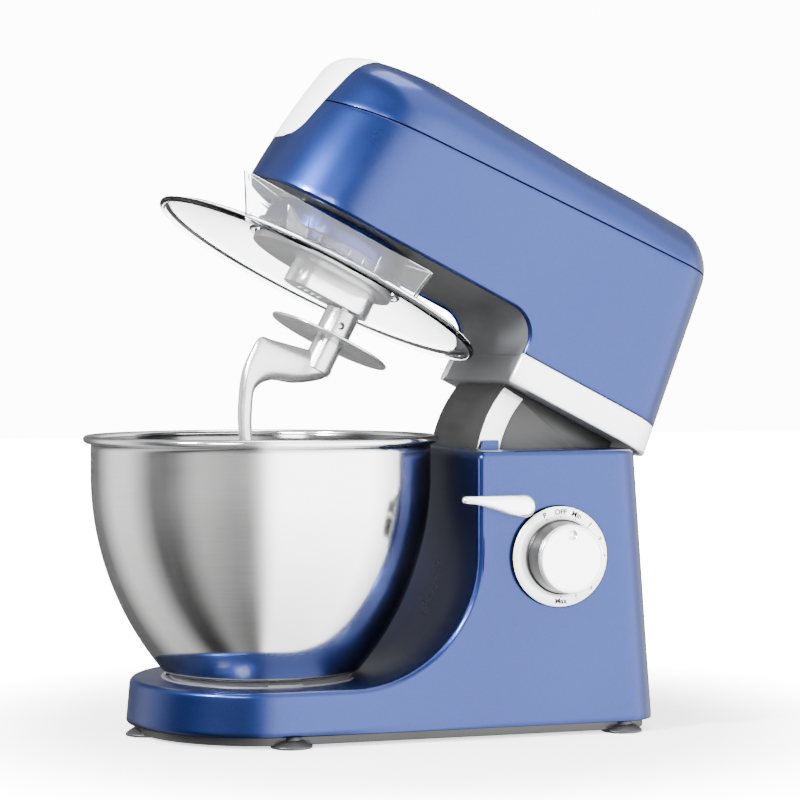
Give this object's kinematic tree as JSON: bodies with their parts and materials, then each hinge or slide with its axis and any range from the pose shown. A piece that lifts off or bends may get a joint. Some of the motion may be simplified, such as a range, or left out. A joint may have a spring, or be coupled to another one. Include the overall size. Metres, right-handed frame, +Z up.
{
  "type": "stand mixer",
  "caption": "Tilt-head stand mixer with a steel bowl, clear splash guard, dough hook, speed knob, release lever, motor and planetary drive, shown with its head raised.",
  "frame": {"origin": "on the table, under the middle of the whole machine's box with the head raised", "axes": "+Z up, -Y towards the front, where the bowl stands, +X towards the side with the speed knob"},
  "size_m": [0.2412, 0.4291, 0.4565],
  "materials": {
    "blue_shell": "metallic blue lacquer",
    "black_plastic": "fine grain",
    "rubber": "smooth soft cups",
    "belt_rubber": "ribbed",
    "screw_steel": "zinc plated",
    "dark_plastic": "satin dark grey",
    "bracket_steel": "pressed sheet",
    "spring_steel": "drawn wire",
    "shaft_steel": "ground",
    "silver_plastic": "satin silver paint",
    "board": "circuit board",
    "bowl_steel": "mirror polished",
    "cast_alloy": "die cast",
    "bush_bronze": "sintered",
    "gear_steel": "sintered steel",
    "gear_nylon": "moulded",
    "bearing_steel": "ground",
    "stator_iron": "laminated",
    "carrier_grey": "satin silver grey",
    "hook_alloy": "satin coated",
    "clear_plastic": "clear moulded plastic"
  },
  "bodies": {
    "base": {"base_housing": "blue_shell", "base_plate": "black_plastic", "suction_feet": "rubber", "foot_screws": "screw_steel", "plate_screws": "screw_steel", "bowl_seat": "dark_plastic", "seat_screws": "screw_steel", "hinge_bracket": "bracket_steel", "hinge_pin": "shaft_steel", "hinge_spring": "spring_steel", "dial_ring": "silver_plastic", "speed_switch": "black_plastic", "control_board": "board", "cord_gland": "black_plastic", "latch_spring": "spring_steel"},
    "bowl": {"bowl": "bowl_steel", "bowl_foot": "dark_plastic"},
    "knob": {"speed_knob": "silver_plastic", "knob_spindle": "shaft_steel"},
    "lever": {"release_lever": "silver_plastic", "lever_shaft": "shaft_steel", "latch_pawl": "bracket_steel"},
    "head": {"head_housing": "blue_shell", "top_cover": "blue_shell", "underside_cover": "dark_plastic", "trim_band": "silver_plastic", "front_cap": "silver_plastic", "neck_shell": "dark_plastic", "neck_strips": "silver_plastic", "head_frame": "cast_alloy", "upper_bridge": "cast_alloy", "hinge_bushes": "bush_bronze", "gear_collar": "blue_shell", "ring_gear": "gear_steel", "main_bearings": "bearing_steel", "collar_screws": "screw_steel", "bridge_screws": "screw_steel", "motor_stator": "stator_iron", "motor_brackets": "cast_alloy", "motor_bearings": "bearing_steel", "brush_holders": "bush_bronze", "drive_belt": "belt_rubber"},
    "rotor": {"motor_rotor": "stator_iron", "motor_shaft": "shaft_steel", "cooling_fan": "black_plastic", "motor_pulley": "cast_alloy"},
    "countershaft": {"countershaft": "shaft_steel", "pinion": "gear_nylon", "belt_pulley": "cast_alloy"},
    "carrier": {"main_shaft": "shaft_steel", "main_gear": "gear_steel", "carrier_disc": "carrier_grey", "carrier_box": "carrier_grey"},
    "tool": {"output_shaft": "shaft_steel", "planet_gear": "gear_nylon", "drive_pin": "shaft_steel", "dough_hook": "hook_alloy", "hook_shield": "hook_alloy"},
    "guard": {"splash_guard": "clear_plastic"}
  },
  "joints": [
    {"name": "head_tilt", "type": "hinge", "parent": "base", "child": "head", "pos_m": [0, 0.13305, 0.1755], "axis": [1, 0, 0], "range_deg": [0, 27]},
    {"name": "carrier_spin", "type": "hinge", "parent": "head", "child": "carrier", "pos_m": [0, -0.04829, 0.31784], "axis": [0, 0.454, 0.891], "continuous": true},
    {"name": "output_spin", "type": "hinge", "parent": "carrier", "child": "tool", "pos_m": [0, -0.03331, 0.28776], "axis": [0, 0.454, 0.891], "continuous": true},
    {"name": "countershaft_spin", "type": "hinge", "parent": "head", "child": "countershaft", "pos_m": [0, 0.0169, 0.36319], "axis": [0, 0.454, 0.891], "continuous": true},
    {"name": "rotor_spin", "type": "hinge", "parent": "head", "child": "rotor", "pos_m": [0, 0.11669, 0.31234], "axis": [0, 0.454, 0.891], "continuous": true},
    {"name": "guard_twist", "type": "hinge", "parent": "head", "child": "guard", "pos_m": [0, -0.04557, 0.32319], "axis": [0, 0.454, 0.891], "range_deg": [-20, 0]},
    {"name": "bowl_twist", "type": "hinge", "parent": "base", "child": "bowl", "pos_m": [0, -0.09315, 0.04], "axis": [0, 0, 1], "range_deg": [0, 20]},
    {"name": "knob_turn", "type": "hinge", "parent": "base", "child": "knob", "pos_m": [0.1015, 0.08815, 0.1205], "axis": [-1, 0, 0], "range_deg": [-22.5, 180]},
    {"name": "lever_turn", "type": "hinge", "parent": "base", "child": "lever", "pos_m": [0.0915, 0.06165, 0.1545], "axis": [1, 0, 0], "range_deg": [0, 20], "stiffness_Nm_per_rad": 0.8, "springref_deg": -14.32}
  ],
  "couplings": [
    {"joint": "output_spin", "follows": "carrier_spin", "ratio": -3},
    {"joint": "countershaft_spin", "follows": "carrier_spin", "ratio": -4},
    {"joint": "rotor_spin", "follows": "carrier_spin", "ratio": -12.8}
  ]
}
